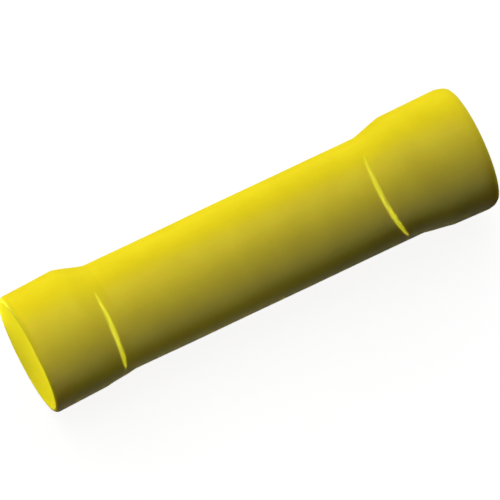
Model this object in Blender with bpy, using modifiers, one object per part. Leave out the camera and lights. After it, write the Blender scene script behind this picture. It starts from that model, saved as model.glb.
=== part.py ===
"""Insulated butt splice connector for 4 to 6 mm2 wire, as a Blender 4.5 script.

A tin-plated copper barrel sits in the middle of a yellow sleeve with belled ends.
A thin metal support sleeve lines each bell, for the second crimp on the wire's
insulation. Metres, +Z up. The connector lies along X, with its origin at the
centre of the barrel's wire stop.
"""

from math import cos, pi, radians, sin, tan

import bpy
from mathutils import Euler, Matrix, Vector

MM = 0.001

# Overall shape. Diameters are across the flats of the many-sided section.
SIDES = 32
LENGTH = 28.4 * MM
BODY_DIAMETER = 6.6 * MM
BELL_DIAMETER = 7.4 * MM
NECK_X = 9.0 * MM  # where each shoulder starts, from the middle
SHOULDER_LENGTH = 1.8 * MM
SHOULDER_FILLET = 1.2 * MM

# Insulation sleeve. Each bell is the same tube expanded, so its wall is thinner.
BODY_WALL = 0.48 * MM
BELL_WALL = 0.35 * MM
MOUTH_ROUND = 0.15 * MM
BORE_EDGE = 0.05 * MM

# Wire barrel
BARREL_LENGTH = 15.0 * MM
BARREL_BORE = 3.4 * MM
BARREL_EDGE = 0.15 * MM
BARREL_ENTRY = 0.4 * MM
SERRATIONS_X = (3.0 * MM, 4.2 * MM, 5.4 * MM)
SERRATION_WIDTH = 0.44 * MM
SERRATION_FLOOR = 0.24 * MM
SERRATION_DEPTH = 0.12 * MM

# Wire stop: two dents staked into the barrel's sides, each with its bulge inside.
DENT_RADIUS = 1.1 * MM
DENT_DEPTH = 0.8 * MM
BULGE_RADIUS = 1.0 * MM
BULGE_HEIGHT = 0.85 * MM

# Support sleeves
SUPPORT_WALL = 0.23 * MM
SUPPORT_RECESS = 1.0 * MM
SUPPORT_EDGE = 0.06 * MM

# Running room between pieces that are pressed together on the real object.
FIT_GAP = 0.02 * MM
BUTT_GAP = 0.03 * MM

ARC_STEPS = 3
SHARP_ANGLE = radians(30)
MERGE = 1e-7
HELPER_SEGMENTS = 24
HELPER_RINGS = 12

HALF_LENGTH = LENGTH / 2
BODY_RADIUS = BODY_DIAMETER / 2
BELL_RADIUS = BELL_DIAMETER / 2
BELL_X = NECK_X + SHOULDER_LENGTH
BODY_BORE_RADIUS = BODY_RADIUS - BODY_WALL
BELL_BORE_RADIUS = BELL_RADIUS - BELL_WALL
BARREL_RADIUS = BODY_BORE_RADIUS - FIT_GAP
BARREL_END = BARREL_LENGTH / 2

# Turns an object's own Z axis, the axis of its Screw, onto X.
ALONG_X = Euler((0, pi / 2, 0))


def clear_scene():
    for obj in list(bpy.data.objects):
        bpy.data.objects.remove(obj)


def new_collection(name):
    collection = bpy.data.collections.new(name)
    bpy.context.scene.collection.children.link(collection)
    return collection


def principled(name, colour, roughness, metallic):
    material = bpy.data.materials.new(name)
    material.use_nodes = True
    shader = material.node_tree.nodes["Principled BSDF"]
    shader.inputs["Base Color"].default_value = (*colour, 1)
    shader.inputs["Roughness"].default_value = roughness
    shader.inputs["Metallic"].default_value = metallic
    material.diffuse_color = (*colour, 1)
    return material


def yellow_plastic():
    return principled("yellow_plastic", (0.86, 0.66, 0.02), 0.35, 0.0)


def tinned_copper():
    return principled("tinned_copper", (0.72, 0.72, 0.70), 0.30, 1.0)


def tinned_brass(side):
    return principled(f"tinned_brass_{side}", (0.78, 0.74, 0.62), 0.28, 1.0)


def mirrored(corners):
    """The same outline on the other half, in the order that continues it."""
    return [(-x, radius, fillet) for x, radius, fillet in reversed(corners)]


def rounded(corners):
    """The closed outline of (x, radius, fillet) corners, with an arc at each fillet."""
    outline = []
    for i, (x, radius, fillet) in enumerate(corners):
        corner = Vector((x, radius))
        if not fillet:
            outline.append(corner)
            continue
        before = (Vector(corners[i - 1][:2]) - corner).normalized()
        after = (Vector(corners[(i + 1) % len(corners)][:2]) - corner).normalized()
        half = before.angle(after) / 2
        centre = corner + (before + after).normalized() * fillet / sin(half)
        start = corner + before * fillet / tan(half) - centre
        turn = pi - 2 * half
        if before.cross(after) > 0:
            turn = -turn
        for step in range(ARC_STEPS + 1):
            outline.append(centre + Matrix.Rotation(turn * step / ARC_STEPS, 2) @ start)
    return outline


def place_on_axis(points):
    """Profile points for the Screw, turned so that a flat side faces straight down."""
    start = pi / SIDES
    stretch = 1 / cos(pi / SIDES)
    return [
        (radius * stretch * cos(start), radius * stretch * sin(start), x)
        for x, radius in points
    ]


def turned(name, corners, material, collection):
    """A ring-shaped piece: its closed outline swept round X by a Screw modifier."""
    points = place_on_axis(rounded(corners))
    edges = [(i, (i + 1) % len(points)) for i in range(len(points))]
    mesh = bpy.data.meshes.new(name)
    mesh.from_pydata(points, edges, [])
    mesh.materials.append(material)
    obj = bpy.data.objects.new(name, mesh)
    obj.rotation_euler = ALONG_X
    collection.objects.link(obj)
    screw = obj.modifiers.new("sweep", "SCREW")
    screw.axis = "Z"
    screw.angle = 2 * pi
    screw.steps = SIDES
    screw.render_steps = SIDES
    screw.use_merge_vertices = True
    screw.merge_threshold = MERGE
    screw.use_smooth_shade = True
    return obj


def bake_shape(obj):
    """Makes the modified shape the object's own mesh, smooth but for its sharp edges."""
    bpy.context.view_layer.update()
    graph = bpy.context.evaluated_depsgraph_get()
    obj.data = bpy.data.meshes.new_from_object(obj.evaluated_get(graph))
    obj.data.name = obj.name
    obj.modifiers.clear()
    obj.data.shade_smooth()
    obj.data.set_sharp_from_angle(angle=SHARP_ANGLE)


def ball(name, radius, distance, side, collection):
    """A hidden sphere above or below the barrel's middle, for a Boolean."""
    bpy.ops.mesh.primitive_uv_sphere_add(
        segments=HELPER_SEGMENTS,
        ring_count=HELPER_RINGS,
        radius=radius,
        location=(0, 0, side * distance),
    )
    obj = bpy.context.object
    obj.name = name
    obj.display_type = "WIRE"
    obj.hide_render = True
    for other in list(obj.users_collection):
        other.objects.unlink(obj)
    collection.objects.link(obj)
    return obj


def combine(obj, other, operation):
    boolean = obj.modifiers.new(other.name, "BOOLEAN")
    boolean.operation = operation
    boolean.solver = "EXACT"
    boolean.object = other


def sleeve_bore():
    """The corners of one half of the sleeve's bore, from the middle to the mouth."""
    return [
        (NECK_X, BODY_BORE_RADIUS, SHOULDER_FILLET),
        (BELL_X, BELL_BORE_RADIUS, SHOULDER_FILLET),
    ]


def add_insulation_sleeve(collection):
    outside = [
        (HALF_LENGTH, BELL_RADIUS, MOUTH_ROUND),
        (BELL_X, BELL_RADIUS, SHOULDER_FILLET),
        (NECK_X, BODY_RADIUS, SHOULDER_FILLET),
    ]
    inside = sleeve_bore() + [(HALF_LENGTH, BELL_BORE_RADIUS, BORE_EDGE)]
    corners = outside + mirrored(outside) + mirrored(inside) + inside
    sleeve = turned("insulation_sleeve", corners, yellow_plastic(), collection)
    bake_shape(sleeve)


def serration(x):
    """A shallow ring groove in the bore, which grips the wire's strands."""
    radius = BARREL_BORE / 2
    floor = radius + SERRATION_DEPTH
    return [
        (x - SERRATION_WIDTH / 2, radius, 0),
        (x - SERRATION_FLOOR / 2, floor, 0),
        (x + SERRATION_FLOOR / 2, floor, 0),
        (x + SERRATION_WIDTH / 2, radius, 0),
    ]


def add_wire_barrel(collection, helpers):
    outside = [
        (BARREL_END, BARREL_RADIUS - BARREL_EDGE, 0),
        (BARREL_END - BARREL_EDGE, BARREL_RADIUS, 0),
    ]
    inside = [corner for x in SERRATIONS_X for corner in serration(x)]
    inside.append((BARREL_END - BARREL_ENTRY, BARREL_BORE / 2, 0))
    inside.append((BARREL_END, BARREL_BORE / 2 + BARREL_ENTRY, 0))
    corners = outside + mirrored(outside) + mirrored(inside) + inside
    barrel = turned("wire_barrel", corners, tinned_copper(), collection)
    bulge_at = BARREL_BORE / 2 - BULGE_HEIGHT + BULGE_RADIUS
    dent_at = BARREL_RADIUS - DENT_DEPTH + DENT_RADIUS
    for side, word in ((1, "upper"), (-1, "lower")):
        bulge = ball(f"{word}_bulge", BULGE_RADIUS, bulge_at, side, helpers)
        combine(barrel, bulge, "UNION")
        dent = ball(f"{word}_dent", DENT_RADIUS, dent_at, side, helpers)
        combine(barrel, dent, "DIFFERENCE")
    bake_shape(barrel)


def add_support_sleeve(side, turn, collection):
    outside = [(x, radius - FIT_GAP, fillet) for x, radius, fillet in reversed(sleeve_bore())]
    outside.insert(0, (HALF_LENGTH - SUPPORT_RECESS, BELL_BORE_RADIUS - FIT_GAP, SUPPORT_EDGE))
    outside.append((BARREL_END + BUTT_GAP, BARREL_RADIUS, SUPPORT_EDGE))
    inside = [(x, radius - SUPPORT_WALL, fillet) for x, radius, fillet in reversed(outside)]
    sleeve = turned(f"support_sleeve_{side}", outside + inside, tinned_brass(side), collection)
    bake_shape(sleeve)
    sleeve.rotation_euler = (Matrix.Rotation(turn, 3, "Z") @ ALONG_X.to_matrix()).to_euler()


def main():
    clear_scene()
    parts = new_collection("butt_splice_connector")
    helpers = new_collection("cutters")
    add_insulation_sleeve(parts)
    add_wire_barrel(parts, helpers)
    add_support_sleeve("left", pi, parts)
    add_support_sleeve("right", 0, parts)


main()
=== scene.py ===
"""Looks for the insulated butt splice connector, built round its CAD model.

Every piece is round about the X axis, so each one is an outline of (x, radius)
points swept round X, with small dents and ripples added to the radius on the way.
Metres, +Z up, with the connector lying along X on a pale floor. Side -1 is the left
end and side 1 the right one.
"""

from collections import namedtuple
from math import atan2, cos, exp, hypot, pi, radians, sin, sqrt, tan

import bpy
from mathutils import Matrix, Vector


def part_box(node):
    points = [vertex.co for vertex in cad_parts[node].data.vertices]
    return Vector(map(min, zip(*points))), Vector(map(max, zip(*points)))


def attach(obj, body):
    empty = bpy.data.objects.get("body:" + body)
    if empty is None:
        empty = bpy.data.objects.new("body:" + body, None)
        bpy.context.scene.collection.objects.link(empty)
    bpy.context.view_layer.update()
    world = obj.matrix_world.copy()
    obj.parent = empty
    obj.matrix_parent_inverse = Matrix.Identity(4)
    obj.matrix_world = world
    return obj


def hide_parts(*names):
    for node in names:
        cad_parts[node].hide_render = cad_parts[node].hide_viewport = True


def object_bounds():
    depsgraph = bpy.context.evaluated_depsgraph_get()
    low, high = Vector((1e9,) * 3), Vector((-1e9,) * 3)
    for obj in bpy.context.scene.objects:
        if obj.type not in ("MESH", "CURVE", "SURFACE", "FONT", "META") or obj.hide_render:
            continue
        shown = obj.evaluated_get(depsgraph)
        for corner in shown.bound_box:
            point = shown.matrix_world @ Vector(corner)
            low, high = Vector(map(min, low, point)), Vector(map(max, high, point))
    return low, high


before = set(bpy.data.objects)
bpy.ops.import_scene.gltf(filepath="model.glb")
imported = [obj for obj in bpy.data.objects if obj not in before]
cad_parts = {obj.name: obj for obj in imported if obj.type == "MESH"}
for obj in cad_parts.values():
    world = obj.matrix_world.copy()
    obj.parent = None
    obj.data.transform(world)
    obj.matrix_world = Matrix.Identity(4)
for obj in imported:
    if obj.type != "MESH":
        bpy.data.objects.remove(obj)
cad_low, cad_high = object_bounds()

MM = 0.001
ALONG = Vector((1, 0, 0))
SIDES = {-1: "left", 1: "right"}

# Sizes that the CAD nodes give
SLEEVE_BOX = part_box("insulation_sleeve")
BARREL_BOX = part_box("wire_barrel")
SUPPORT_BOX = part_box("support_sleeve_right")
HALF_LENGTH = SLEEVE_BOX[1].x
BELL_RADIUS = SLEEVE_BOX[1].z
BARREL_END = BARREL_BOX[1].x
BARREL_RADIUS = BARREL_BOX[1].z
SUPPORT_NOSE = SUPPORT_BOX[0].x
SUPPORT_MOUTH = SUPPORT_BOX[1].x
SUPPORT_RADIUS = SUPPORT_BOX[1].z

# Insulation sleeve
FIT_GAP = 0.02 * MM
BODY_WALL = 0.48 * MM
BODY_BORE_RADIUS = BARREL_RADIUS + FIT_GAP
BELL_BORE_RADIUS = SUPPORT_RADIUS + FIT_GAP
BODY_RADIUS = BODY_BORE_RADIUS + BODY_WALL
NECK_X = 9.0 * MM
SHOULDER_LENGTH = 1.8 * MM
BELL_X = NECK_X + SHOULDER_LENGTH
SHOULDER_FILLET = 1.2 * MM
BORE_EDGE = 0.06 * MM

# Creases: a thin lens-shaped welt by each neck, front and back, where the sleeve was
# drawn down onto the barrel. CREASE_ZONE is the stretch along X that holds them.
CREASE_WIDTH = 0.29 * MM
CREASE_HEIGHT = 0.03 * MM
CREASE_ZONE = (7.1 * MM, 10.0 * MM)

# How much of each mouth its taper takes in
TAPER_LENGTH = 0.6 * MM

# How each end of the sleeve is out of true. neck_shift and neck_slant move its shoulder along
# X and lean it, and mouth_shift and mouth_slant its mouth. off_axis is how far its bell stands
# off the axis, at the shoulder and at the mouth, and swell how much wider the end is, at the
# neck, the shoulder and the mouth. mouth_round is the radius of the mouth's edge, and
# mouth_taper how much narrower the mouth is. The crease lies at crease_x. crease_span is where
# it starts and ends, from the lit side to the shade side, as seen from straight in front of
# it. crease_lean tilts its plane, away from the front and sideways.
End = namedtuple(
    "End",
    "neck_shift neck_slant mouth_shift mouth_slant mouth_round mouth_taper off_axis swell "
    "crease_x crease_span crease_lean",
)
ENDS = {
    -1: End(
        neck_shift=0.0,
        neck_slant=-0.09 * MM,
        mouth_shift=-0.03 * MM,
        mouth_slant=-0.1 * MM,
        mouth_round=0.28 * MM,
        mouth_taper=0.0,
        off_axis=(0.155 * MM, 0.0),
        swell=(-0.03 * MM, -0.05 * MM, -0.065 * MM),
        crease_x=9.6 * MM,
        crease_span=(-1.61 * MM, 3.09 * MM),
        crease_lean=(0.0, 0.0),
    ),
    1: End(
        neck_shift=-0.15 * MM,
        neck_slant=0.69 * MM,
        mouth_shift=0.05 * MM,
        mouth_slant=-0.06 * MM,
        mouth_round=0.3 * MM,
        mouth_taper=0.15 * MM,
        off_axis=(0.08 * MM, 0.065 * MM),
        swell=(0.0, 0.0, 0.08 * MM),
        crease_x=7.57 * MM,
        crease_span=(-2.1 * MM, 3.14 * MM),
        crease_lean=(0.38, 0.03),
    ),
}

# How pale the bells' bores are from stretching, where 1 is as pale as a crease with its painted
# highlight
BORE_STRETCH = 0.25

# A point is on the sleeve's skin from this share of the way through its wall.
SKIN = 0.9

# Ripples in the sleeve's surface: height, waves round it, and radians per metre along it
ROUND_RIPPLE = (0.004 * MM, 3, 900)
CROSS_RIPPLE = (0.003 * MM, 5, -600)

# Wire barrel
BARREL_BORE_RADIUS = 1.7 * MM
BARREL_EDGE = 0.15 * MM
BARREL_ENTRY = 0.4 * MM
SERRATIONS_X = (3.0 * MM, 4.2 * MM, 5.4 * MM)
SERRATION_WIDTH = 0.44 * MM
SERRATION_FLOOR = 0.24 * MM
SERRATION_DEPTH = 0.12 * MM
METAL_FILLET = 0.04 * MM
ENTRY_FILLET = 0.06 * MM
DENT_WIDTH = 0.62 * MM
DENT_DEPTH = 0.8 * MM
BULGE_WIDTH = 0.55 * MM
BULGE_HEIGHT = 0.85 * MM
SEAM_DEPTH = 0.03 * MM
SEAM_WIDTH = 0.06 * MM

# Support sleeves
SUPPORT_WALL = 0.23 * MM
SUPPORT_EDGE = 0.08 * MM
SUPPORT_OVAL = 0.003 * MM
SUPPORT_OVAL_TURN = 0.5

# Mesh resolution
SEGMENTS = 224
ARC_STEP = radians(9)
FEWEST_ARC_STEPS = 3
LONGEST_EDGE = 0.35 * MM
CREASE_EDGE = 0.06 * MM

# Noises. A scale is in cells per metre along X, Y and Z, and a range is the part of a
# noise's 0 to 1 that is put to use.
MARKS_RANGE = (0.2, 0.8)

# Plastic
MOTTLE_SCALE = (500, 500, 500)
MOTTLE_RANGE = (0.3, 0.7)
LINES_SCALE = (60, 5000, 5000)
LINES_HEIGHT = 0.004 * MM
GRAIN_SCALE = (16000, 16000, 16000)
GRAIN_HEIGHT = 0.0015 * MM
DEEP_YELLOW = (0.90, 0.725, 0.003, 1)
LIGHT_YELLOW = (0.96, 0.785, 0.006, 1)
# The next yellow is the creases' painted highlight, with their stretch whitening, and the tint
# of the stretched bores.
STRETCHED_AND_HIGHLIGHT_YELLOW = (0.98, 0.88, 0.02, 1)
FULL_STRETCH_AND_HIGHLIGHT = 0.3
PLASTIC_ROUGHNESS = (0.34, 0.46)
LIP_LENGTH = 0.25 * MM
LIP_ROUGHNESS = 0.12
PLASTIC_GLOSS = 0.06
GLOW_WEIGHT = 0.15
GLOW_REACH = 0.25 * MM
GLOW_RED_GREEN_BLUE = (1.0, 0.7, 0.1)

# Metals
CLOUD_SCALE = (900, 900, 900)
CLOUD_RANGE = (0.45, 0.8)
TURNING_SCALE = (9000, 300, 300)
DRAWING_SCALE = (150, 6000, 6000)
MARKS_HEIGHT = 0.003 * MM
METAL_ROUGHNESS = (0.2, 0.38)
TIN_ON_COPPER = (0.78, 0.77, 0.74, 1)
WORN_TO_COPPER = (0.74, 0.63, 0.54, 1)
TIN_ON_BRASS = (0.80, 0.77, 0.68, 1)
WORN_TO_BRASS = (0.74, 0.66, 0.46, 1)

# Floor
FLOOR_REACH = 4.0
FLOOR_GREY = (0.22, 0.22, 0.22, 1)
FLOOR_GLOW = 0.9

# View and light
VIEW_AZIMUTH = radians(-27.2)
VIEW_ELEVATION = radians(66.8)
VIEW_DISTANCE = 0.4
VIEW_WIDTH = 28.42 * MM
VIEW_SHIFT = 0.04 * MM  # how far the view is moved towards the lit side
SENSOR_WIDTH = 36.0
CLIP_START = 0.01
CLIP_END = 20.0

# Strength of the surroundings, in the middle of their bright half
SKY_MIDDLE = 1.58

# Softbox for the gloss, as seen in reflections only. A turn is round the X axis, from the front.
SOFTBOX_TURN = radians(12)
SOFTBOX_DISTANCE = 0.15
SOFTBOX_SIZE = (0.3, 1.2)
SOFTBOX_POWER = 4.5

# Softboxes beyond both ends, also for reflections only
END_BOX_DISTANCE = 0.15
END_BOX_SIZE = 0.3
END_BOX_RISE = 0.05
END_BOX_POWER = 0.25

# Fill light, high beyond the left end
FILL_X = -20.0 * MM
FILL_TURN = radians(-15)
FILL_DISTANCE = 30.0 * MM
FILL_SIZE = 14.0 * MM
FILL_POWER = 8.8e-4

# Low light, under the shade side
LOW_TURN = radians(140)
LOW_DISTANCE = 0.3
LOW_SIZE = 0.2
LOW_POWER = 0.06

# Bounce light, low on the shade side of the middle
BOUNCE_X = -4.0 * MM
BOUNCE_TURN = radians(70)
BOUNCE_DISTANCE = 10.0 * MM
BOUNCE_SIZE = (14.0 * MM, 4.0 * MM)
BOUNCE_POWER = 2.7e-5

# Beams on the left and right front creases. BEAM_AIM is where on its crease each is centred.
BEAM_TURN = radians(40)
BEAM_AIM = {-1: radians(24), 1: radians(26.4)}
BEAM_LENGTH = {-1: 4.5 * MM, 1: 4.95 * MM}
BEAM_WIDTH = 0.29 * MM
BEAM_DISTANCE = 9.0 * MM
BEAM_SPREAD = radians(0.5)
BEAM_POWER = 1.55e-6

# Lights just outside the mouths, moved off the axis towards the lit side
MOUTH_LIGHT_GAP = 0.3 * MM
MOUTH_LIGHT_SHIFT = 1.2 * MM
MOUTH_POWER = 1.1e-4

# The way round the X axis that faces the viewer, from +Y towards +Z
FRONT = atan2(sin(VIEW_ELEVATION), -cos(VIEW_AZIMUTH) * cos(VIEW_ELEVATION))


def mirrored(corners):
    """The same outline on the other half, in the order that continues it."""
    return [(-x, radius, fillet) for x, radius, fillet in reversed(corners)]


def rounded(corners):
    """The closed outline of (x, radius, fillet) corners, with an arc at each fillet."""
    outline = []
    for i, (x, radius, fillet) in enumerate(corners):
        corner = Vector((x, radius))
        if not fillet:
            outline.append(corner)
            continue
        before = (Vector(corners[i - 1][:2]) - corner).normalized()
        after = (Vector(corners[(i + 1) % len(corners)][:2]) - corner).normalized()
        half = before.angle(after) / 2
        centre = corner + (before + after).normalized() * fillet / sin(half)
        start = corner + before * fillet / tan(half) - centre
        turn = pi - 2 * half
        steps = max(FEWEST_ARC_STEPS, round(turn / ARC_STEP))
        if before.cross(after) > 0:
            turn = -turn
        for step in range(steps + 1):
            outline.append(centre + Matrix.Rotation(turn * step / steps, 2) @ start)
    return outline


def divided(outline, longest_edge):
    """The outline with its long stretches cut up. longest_edge(x) gives how finely."""
    points = []
    for i, point in enumerate(outline):
        following = outline[(i + 1) % len(outline)]
        length = (following - point).length
        gone = 0.0
        while True:
            here = point.lerp(following, gone / length)
            points.append(here)
            edge = longest_edge(here.x)
            gone += edge
            if gone > length - edge / 2:
                break
    return points


def coarse(x):
    return LONGEST_EDGE


def swept(name, corners, shaped, longest_edge=coarse):
    """A ring-shaped mesh: the outline swept round X. shaped(x, radius, angle) gives each
    point's own x and radius, and how pale its material is: stretch whitening, and on the creases
    a painted highlight too."""
    outline = divided(rounded(corners), longest_edge)
    count = len(outline)
    points = []
    stretch_and_highlight_values = []
    for segment in range(SEGMENTS):
        angle = 2 * pi * segment / SEGMENTS
        for plain_x, plain_radius in outline:
            x, radius, stretch = shaped(plain_x, plain_radius, angle)
            points.append((x, radius * cos(angle), radius * sin(angle)))
            stretch_and_highlight_values.append(stretch)
    faces = []
    for segment in range(SEGMENTS):
        here = segment * count
        there = (segment + 1) % SEGMENTS * count
        for i in range(count):
            j = (i + 1) % count
            faces.append((here + i, here + j, there + j, there + i))
    mesh = bpy.data.meshes.new(name)
    mesh.from_pydata(points, [], faces)
    mesh.attributes.new("stretch", "FLOAT", "POINT").data.foreach_set("value", stretch_and_highlight_values)
    mesh.shade_smooth()
    obj = bpy.data.objects.new(name, mesh)
    bpy.context.scene.collection.objects.link(obj)
    return obj


def finished(obj, node, material):
    """Stands the piece in for its CAD node, with its material."""
    obj.data.materials.append(material)
    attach(obj, "root")
    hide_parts(node)


def ramp(value, low, high):
    """0 up to low, 1 from high, and a smooth rise between them."""
    share = min(max((value - low) / (high - low), 0.0), 1.0)
    return share * share * (3 - 2 * share)


def wall_share(reach, radius):
    """0 on the sleeve's bore and 1 on its outside, reach being the distance along X."""
    bell = min(max((reach - NECK_X) / SHOULDER_LENGTH, 0.0), 1.0)
    bore = BODY_BORE_RADIUS + bell * (BELL_BORE_RADIUS - BODY_BORE_RADIUS)
    outside = BODY_RADIUS + bell * (BELL_RADIUS - BODY_RADIUS)
    return ramp(radius, bore, outside)


def crease_reach(end, turn):
    """How far out along X a crease lies, at an angle round the X axis from the front."""
    away, sideways = end.crease_lean
    return end.crease_x + BODY_RADIUS * (away * (1 - cos(turn)) + sideways * sin(turn))


def crease_share(side, reach, radius, angle):
    """1 along the middle of a crease, falling to 0 at its edges."""
    turn = angle - FRONT if cos(angle - FRONT) > 0 else angle - FRONT - pi
    start, stop = ENDS[side].crease_span
    along = (2 * radius * sin(turn) - start - stop) / (stop - start)
    if abs(along) >= 1:
        return 0.0
    middle = crease_reach(ENDS[side], turn)
    across = 2 * (reach - middle) / (CREASE_WIDTH * sqrt(1 - along * along))
    return max(1 - across * across, 0.0)


def ripple(wave, size, x, angle):
    """A ripple's height at one place, wave being sin or cos."""
    height, waves, slope = size
    return height * wave(waves * angle + slope * x)


def sleeve_shape(x, radius, angle):
    """The sleeve as formed: ends a little out of true, creases, and a rippled surface."""
    side = 1 if x > 0 else -1
    end = ENDS[side]
    reach = abs(x)
    outside = wall_share(reach, radius)
    away = sin(angle - FRONT)
    neck = min(reach / NECK_X, 1.0)
    bell = ramp(reach, NECK_X, BELL_X)
    mouth = min(max((reach - BELL_X) / (HALF_LENGTH - BELL_X), 0.0), 1.0)
    shoulder_only = ramp(reach, NECK_X / 2, NECK_X) * (1 - mouth) ** 2
    reach += outside * shoulder_only * (end.neck_shift + end.neck_slant * away)
    reach += mouth**2 * (end.mouth_shift + end.mouth_slant * away)
    off_axis = bell * end.off_axis[0] + mouth * (end.off_axis[1] - end.off_axis[0])
    swell = neck * end.swell[0] + bell * (end.swell[1] - end.swell[0])
    swell += mouth * (end.swell[2] - end.swell[1])
    taper = end.mouth_taper * ramp(reach, HALF_LENGTH - TAPER_LENGTH, HALF_LENGTH)
    radius += outside * (swell - taper - off_axis * away)
    radius += ripple(cos, ROUND_RIPPLE, x, angle) + ripple(sin, CROSS_RIPPLE, x, angle)
    stretch = BORE_STRETCH * bell
    if outside > SKIN:
        # On the creases the paler yellow is a painted highlight, with stretch whitening.
        stretch = crease_share(side, reach, radius, angle)
        radius += stretch * CREASE_HEIGHT
    return side * reach, radius, stretch


def sleeve_edge(x):
    return CREASE_EDGE if CREASE_ZONE[0] < abs(x) < CREASE_ZONE[1] else LONGEST_EDGE


def make_sleeve():
    outside = [(BELL_X, BELL_RADIUS, SHOULDER_FILLET), (NECK_X, BODY_RADIUS, SHOULDER_FILLET)]
    left, right = ((side * HALF_LENGTH, BELL_RADIUS, ENDS[side].mouth_round) for side in SIDES)
    inside = [
        (NECK_X, BODY_BORE_RADIUS, SHOULDER_FILLET),
        (BELL_X, BELL_BORE_RADIUS, SHOULDER_FILLET),
        (HALF_LENGTH, BELL_BORE_RADIUS, BORE_EDGE),
    ]
    corners = [right, *outside, *mirrored(outside), left, *mirrored(inside), *inside]
    sleeve = swept("sleeve_moulding", corners, sleeve_shape, sleeve_edge)
    finished(sleeve, "insulation_sleeve", yellow_nylon())


def barrel_shape(x, radius, angle):
    """The two staked dents, each with its bulge in the bore, and the brazed seam."""
    outside = radius > (BARREL_RADIUS + BARREL_BORE_RADIUS) / 2
    width = DENT_WIDTH if outside else BULGE_WIDTH
    depth = DENT_DEPTH if outside else BULGE_HEIGHT
    relief = 0.0
    for middle in (pi / 2, 3 * pi / 2):
        across = (angle - middle) * radius
        relief -= depth * exp(-((hypot(x, across) / width) ** 3))
    seam = ((angle - pi) * radius) / SEAM_WIDTH
    sink = SEAM_DEPTH * exp(-seam * seam)
    return x, radius + relief + (-sink if outside else sink), 0.0


def serration(x):
    """A shallow ring groove in the bore, which grips the wire's strands."""
    floor = BARREL_BORE_RADIUS + SERRATION_DEPTH
    return [
        (x - SERRATION_WIDTH / 2, BARREL_BORE_RADIUS, METAL_FILLET),
        (x - SERRATION_FLOOR / 2, floor, METAL_FILLET),
        (x + SERRATION_FLOOR / 2, floor, METAL_FILLET),
        (x + SERRATION_WIDTH / 2, BARREL_BORE_RADIUS, METAL_FILLET),
    ]


def make_barrel():
    outside = [
        (BARREL_END, BARREL_RADIUS - BARREL_EDGE, METAL_FILLET),
        (BARREL_END - BARREL_EDGE, BARREL_RADIUS, METAL_FILLET),
    ]
    inside = [corner for x in SERRATIONS_X for corner in serration(x)]
    inside.append((BARREL_END - BARREL_ENTRY, BARREL_BORE_RADIUS, ENTRY_FILLET))
    inside.append((BARREL_END, BARREL_BORE_RADIUS + BARREL_ENTRY, METAL_FILLET))
    corners = outside + mirrored(outside) + mirrored(inside) + inside
    barrel = swept("crimp_barrel", corners, barrel_shape)
    finished(barrel, "wire_barrel", tinned_copper())


def support_shape(x, radius, angle):
    """Very slightly oval, as a thin drawn tube is."""
    return x, radius + SUPPORT_OVAL * cos(2 * angle - SUPPORT_OVAL_TURN), 0.0


def make_support(side):
    """The metal sleeve in one bell."""
    outside = [
        (SUPPORT_MOUTH, SUPPORT_RADIUS, SUPPORT_EDGE),
        (BELL_X, SUPPORT_RADIUS, SHOULDER_FILLET),
        (NECK_X, BARREL_RADIUS, SHOULDER_FILLET),
        (SUPPORT_NOSE, BARREL_RADIUS, SUPPORT_EDGE),
    ]
    inside = [(x, radius - SUPPORT_WALL, fillet) for x, radius, fillet in reversed(outside)]
    corners = outside + inside
    if side < 0:
        corners = mirrored(corners)
    name = SIDES[side]
    support = swept(f"support_liner_{name}", corners, support_shape)
    finished(support, f"support_sleeve_{name}", tinned_brass(name))


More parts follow.
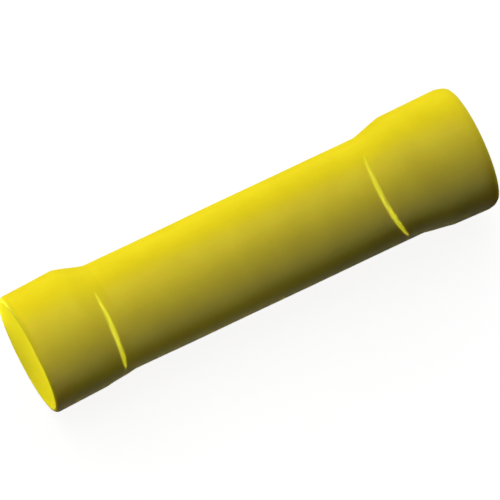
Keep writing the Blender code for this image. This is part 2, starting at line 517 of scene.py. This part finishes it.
class Nodes:
    """A material's or a world's node tree, with short calls to add and link nodes."""

    def __init__(self, tree):
        self.tree = tree

    def add(self, kind, **settings):
        node = self.tree.nodes.new(kind)
        for name, value in settings.items():
            setattr(node, name, value)
        return node

    def link(self, source, target):
        self.tree.links.new(source, target)

    def fill(self, target, value):
        """Links an output socket to an input, or sets the input to a plain value."""
        if isinstance(value, bpy.types.NodeSocket):
            self.link(value, target)
        else:
            target.default_value = value

    def math(self, operation, *values):
        node = self.add("ShaderNodeMath", operation=operation)
        for socket, value in zip(node.inputs, values):
            self.fill(socket, value)
        return node.outputs[0]

    def ranged(self, value, low, high, to_low=0.0, to_high=1.0):
        node = self.add("ShaderNodeMapRange")
        for socket, number in zip(node.inputs, (value, low, high, to_low, to_high)):
            self.fill(socket, number)
        return node.outputs[0]

    def facing(self, direction):
        """How far the world's surroundings lie towards a direction, from -1 to 1."""
        dot = self.add("ShaderNodeVectorMath", operation="DOT_PRODUCT")
        self.link(self.add("ShaderNodeTexCoord").outputs["Generated"], dot.inputs[0])
        dot.inputs[1].default_value = direction
        return dot.outputs["Value"]

    def mix(self, factor, first, second):
        node = self.add("ShaderNodeMix", data_type="RGBA")
        self.fill(node.inputs["Factor"], factor)
        self.fill(node.inputs[6], first)
        self.fill(node.inputs[7], second)
        return node.outputs[2]

    def noise(self, scale, detail):
        """Noise over the object. scale is its cells per metre along X, Y and Z."""
        place = self.add("ShaderNodeTexCoord").outputs["Object"]
        stretch = self.add("ShaderNodeVectorMath", operation="MULTIPLY")
        self.link(place, stretch.inputs[0])
        stretch.inputs[1].default_value = scale
        noise = self.add("ShaderNodeTexNoise")
        self.link(stretch.outputs[0], noise.inputs["Vector"])
        noise.inputs["Scale"].default_value = 1.0
        noise.inputs["Detail"].default_value = detail
        return noise.outputs["Fac"]

    def along(self):
        """Distance from the middle along X, either way."""
        place = self.add("ShaderNodeTexCoord").outputs["Object"]
        split = self.add("ShaderNodeSeparateXYZ")
        self.link(place, split.inputs[0])
        return self.math("ABSOLUTE", split.outputs["X"])

    def painted(self, name):
        """A value that the mesh holds at each point."""
        return self.add("ShaderNodeAttribute", attribute_name=name).outputs["Fac"]

    def bump(self, height, distance, normal=None):
        node = self.add("ShaderNodeBump")
        self.link(height, node.inputs["Height"])
        node.inputs["Distance"].default_value = distance
        node.inputs["Strength"].default_value = 1.0
        if normal:
            self.link(normal, node.inputs["Normal"])
        return node.outputs[0]


def new_material(name):
    material = bpy.data.materials.new(name)
    material.use_nodes = True
    nodes = Nodes(material.node_tree)
    return material, nodes, material.node_tree.nodes["Principled BSDF"].inputs


def yellow_nylon():
    """Semi-gloss nylon: drawing lines along the tube, faint mottling, paler where it was
    stretched and on the creases as a painted highlight, and scuffed at the mouths."""
    material, nodes, shader = new_material("yellow_nylon")
    mottle = nodes.noise(MOTTLE_SCALE, detail=4.0)
    lines = nodes.noise(LINES_SCALE, detail=2.0)
    grain = nodes.noise(GRAIN_SCALE, detail=2.0)
    colour = nodes.mix(nodes.ranged(mottle, *MOTTLE_RANGE), DEEP_YELLOW, LIGHT_YELLOW)
    # Paler yellow from the stretch attribute: stretching in the bores, and on the creases a
    # painted highlight with stretch whitening.
    stretch = nodes.ranged(nodes.painted("stretch"), 0.0, FULL_STRETCH_AND_HIGHLIGHT)
    nodes.link(nodes.mix(stretch, colour, STRETCHED_AND_HIGHLIGHT_YELLOW), shader["Base Color"])
    rough = nodes.ranged(lines, *MARKS_RANGE, *PLASTIC_ROUGHNESS)
    lip = nodes.ranged(nodes.along(), HALF_LENGTH - LIP_LENGTH, HALF_LENGTH, 0.0, LIP_ROUGHNESS)
    nodes.link(nodes.math("ADD", rough, lip), shader["Roughness"])
    normal = nodes.bump(lines, LINES_HEIGHT)
    normal = nodes.bump(grain, GRAIN_HEIGHT, normal)
    nodes.link(normal, shader["Normal"])
    shader["Specular IOR Level"].default_value = PLASTIC_GLOSS
    shader["Subsurface Weight"].default_value = GLOW_WEIGHT
    shader["Subsurface Radius"].default_value = GLOW_RED_GREEN_BLUE
    shader["Subsurface Scale"].default_value = GLOW_REACH
    return material


def metal(name, colour, worn, tool_marks):
    """Plated metal, with marks finest across tool_marks' larger scales."""
    material, nodes, shader = new_material(name)
    cloud = nodes.noise(CLOUD_SCALE, detail=5.0)
    marks = nodes.noise(tool_marks, detail=2.0)
    wear = nodes.ranged(cloud, *CLOUD_RANGE)
    nodes.link(nodes.mix(wear, colour, worn), shader["Base Color"])
    nodes.link(nodes.ranged(marks, *MARKS_RANGE, *METAL_ROUGHNESS), shader["Roughness"])
    nodes.link(nodes.bump(marks, MARKS_HEIGHT), shader["Normal"])
    shader["Metallic"].default_value = 1.0
    return material


def tinned_copper():
    """Tin over copper, with turning marks round the barrel."""
    return metal("tinned_copper", TIN_ON_COPPER, WORN_TO_COPPER, TURNING_SCALE)


def tinned_brass(name):
    """Tin over brass, with drawing lines along the sleeve."""
    return metal(f"tinned_brass_{name}", TIN_ON_BRASS, WORN_TO_BRASS, DRAWING_SCALE)


def make_floor():
    """A pale, faintly lit table that takes the connector's shadow but doesn't light it."""
    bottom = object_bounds()[0].z
    corners = [
        (x * FLOOR_REACH, y * FLOOR_REACH, bottom)
        for x, y in ((-1, -1), (1, -1), (1, 1), (-1, 1))
    ]
    mesh = bpy.data.meshes.new("floor")
    mesh.from_pydata(corners, [], [(0, 1, 2, 3)])
    floor = bpy.data.objects.new("floor", mesh)
    bpy.context.scene.collection.objects.link(floor)
    material, _, shader = new_material("pale_floor")
    shader["Base Color"].default_value = FLOOR_GREY
    shader["Roughness"].default_value = 1.0
    shader["Specular IOR Level"].default_value = 0.0
    shader["Emission Color"].default_value = (1, 1, 1, 1)
    shader["Emission Strength"].default_value = FLOOR_GLOW
    mesh.materials.append(material)
    floor.visible_diffuse = False
    floor.visible_glossy = False
    floor.visible_transmission = False
    floor.visible_shadow = False


def round_x(turn):
    """The direction that is turned from the front by an angle round the X axis."""
    return Vector((0, cos(FRONT + turn), sin(FRONT + turn)))


def make_sky():
    """Soft white surroundings over the upper left of the view, brightest in the middle,
    and dark ones opposite."""
    world = bpy.data.worlds.new("studio")
    world.use_nodes = True
    bpy.context.scene.world = world
    nodes = Nodes(world.node_tree)
    facing = nodes.facing(round_x(-pi / 2))
    dome = nodes.ranged(facing, 0.0, 1.0, 0.0, SKY_MIDDLE)
    seen = nodes.add("ShaderNodeLightPath").outputs["Is Camera Ray"]
    background = world.node_tree.nodes["Background"].inputs
    background["Color"].default_value = (1, 1, 1, 1)
    nodes.link(nodes.math("MAXIMUM", dome, seen), background["Strength"])
    world.cycles_visibility.glossy = False


def area_light(name, centre, towards, long_side, size, power, spread=pi):
    """An elliptical light that shines on the centre from a direction."""
    data = bpy.data.lights.new(name, "AREA")
    data.shape = "ELLIPSE"
    data.size, data.size_y = size
    data.energy = power
    data.spread = spread
    light = bpy.data.objects.new(name, data)
    back = towards.normalized()
    side = (long_side - back * long_side.dot(back)).normalized()
    light.rotation_euler = Matrix((side, back.cross(side), back)).transposed().to_euler()
    light.location = centre
    light.visible_camera = False
    bpy.context.scene.collection.objects.link(light)
    return light


def make_softbox():
    """A broad softbox in front, which only reflections see."""
    towards = round_x(SOFTBOX_TURN)
    place = towards * SOFTBOX_DISTANCE
    softbox = area_light("softbox", place, towards, ALONG, SOFTBOX_SIZE, SOFTBOX_POWER)
    softbox.visible_diffuse = False


def make_end_boxes():
    """Softboxes that only the metal in the bells, and other reflections, see."""
    size = (END_BOX_SIZE, END_BOX_SIZE)
    for side, word in SIDES.items():
        place = Vector((side * END_BOX_DISTANCE, 0, END_BOX_RISE))
        box = area_light(f"end_box_{word}", place, place, Vector((0, 1, 0)), size, END_BOX_POWER)
        box.visible_diffuse = False


def make_fill_light():
    """A small soft light near the left end, so that the connector darkens to the right."""
    towards = round_x(FILL_TURN)
    place = FILL_X * ALONG + towards * FILL_DISTANCE
    size = (FILL_SIZE, FILL_SIZE)
    fill = area_light("fill_light", place, towards, ALONG, size, FILL_POWER)
    fill.visible_glossy = False


def make_low_light():
    """A weak light from underneath, so that the shade side isn't black."""
    towards = round_x(LOW_TURN)
    place = towards * LOW_DISTANCE
    size = (LOW_SIZE, LOW_SIZE)
    area_light("low_light", place, towards, ALONG, size, LOW_POWER)


def make_bounce_light():
    """A weak light under the middle, so that its shade side isn't as dark as the bells'."""
    towards = round_x(BOUNCE_TURN)
    place = BOUNCE_X * ALONG + towards * BOUNCE_DISTANCE
    bounce = area_light("bounce_light", place, towards, ALONG, BOUNCE_SIZE, BOUNCE_POWER)
    bounce.visible_glossy = False


def make_crease_lights():
    """A thin beam along each front crease, in the crease's own plane."""
    for side, word in SIDES.items():
        end = ENDS[side]
        away, sideways = end.crease_lean
        plane = side * ALONG + away * round_x(0) - sideways * round_x(pi / 2)
        towards = round_x(BEAM_TURN)
        towards.x = -side * plane.dot(towards)
        long_side = plane.cross(towards)
        aim = side * crease_reach(end, BEAM_AIM[side]) * ALONG
        aim += BODY_RADIUS * round_x(BEAM_AIM[side])
        place = aim + towards.normalized() * BEAM_DISTANCE
        size = (BEAM_LENGTH[side], BEAM_WIDTH)
        power = BEAM_POWER * BEAM_LENGTH[side] / BEAM_LENGTH[-1]
        name = f"crease_light_{word}"
        area_light(name, place, towards, long_side, size, power, BEAM_SPREAD)


def make_mouth_lights():
    """Fill for the rim and the inside of each bell, from a disc in front of its mouth."""
    width = 2 * (BELL_RADIUS - MOUTH_LIGHT_SHIFT)
    size = (width, width)
    up = Vector((0, 0, 1))
    for side, word in SIDES.items():
        towards = side * ALONG
        centre = towards * (HALF_LENGTH + MOUTH_LIGHT_GAP)
        centre += MOUTH_LIGHT_SHIFT * round_x(-pi / 2)
        light = area_light(f"mouth_light_{word}", centre, towards, up, size, MOUTH_POWER)
        light.visible_glossy = False


def make_camera():
    data = bpy.data.cameras.new("camera")
    camera = bpy.data.objects.new("camera", data)
    bpy.context.scene.collection.objects.link(camera)
    back = Vector(
        (
            sin(VIEW_AZIMUTH) * cos(VIEW_ELEVATION),
            -cos(VIEW_AZIMUTH) * cos(VIEW_ELEVATION),
            sin(VIEW_ELEVATION),
        )
    )
    target = (cad_low + cad_high) / 2 + VIEW_SHIFT * round_x(-pi / 2)
    camera.location = target + back * VIEW_DISTANCE
    camera.rotation_euler = back.to_track_quat("Z", "Y").to_euler()
    data.sensor_width = SENSOR_WIDTH
    data.lens = SENSOR_WIDTH * VIEW_DISTANCE / VIEW_WIDTH
    data.clip_start = CLIP_START
    data.clip_end = CLIP_END
    bpy.context.scene.camera = camera


make_sleeve()
make_barrel()
make_support(1)
make_support(-1)
make_floor()
make_sky()
make_softbox()
make_end_boxes()
make_fill_light()
make_low_light()
make_bounce_light()
make_crease_lights()
make_mouth_lights()
make_camera()
bpy.context.scene.view_settings.view_transform = "Standard"
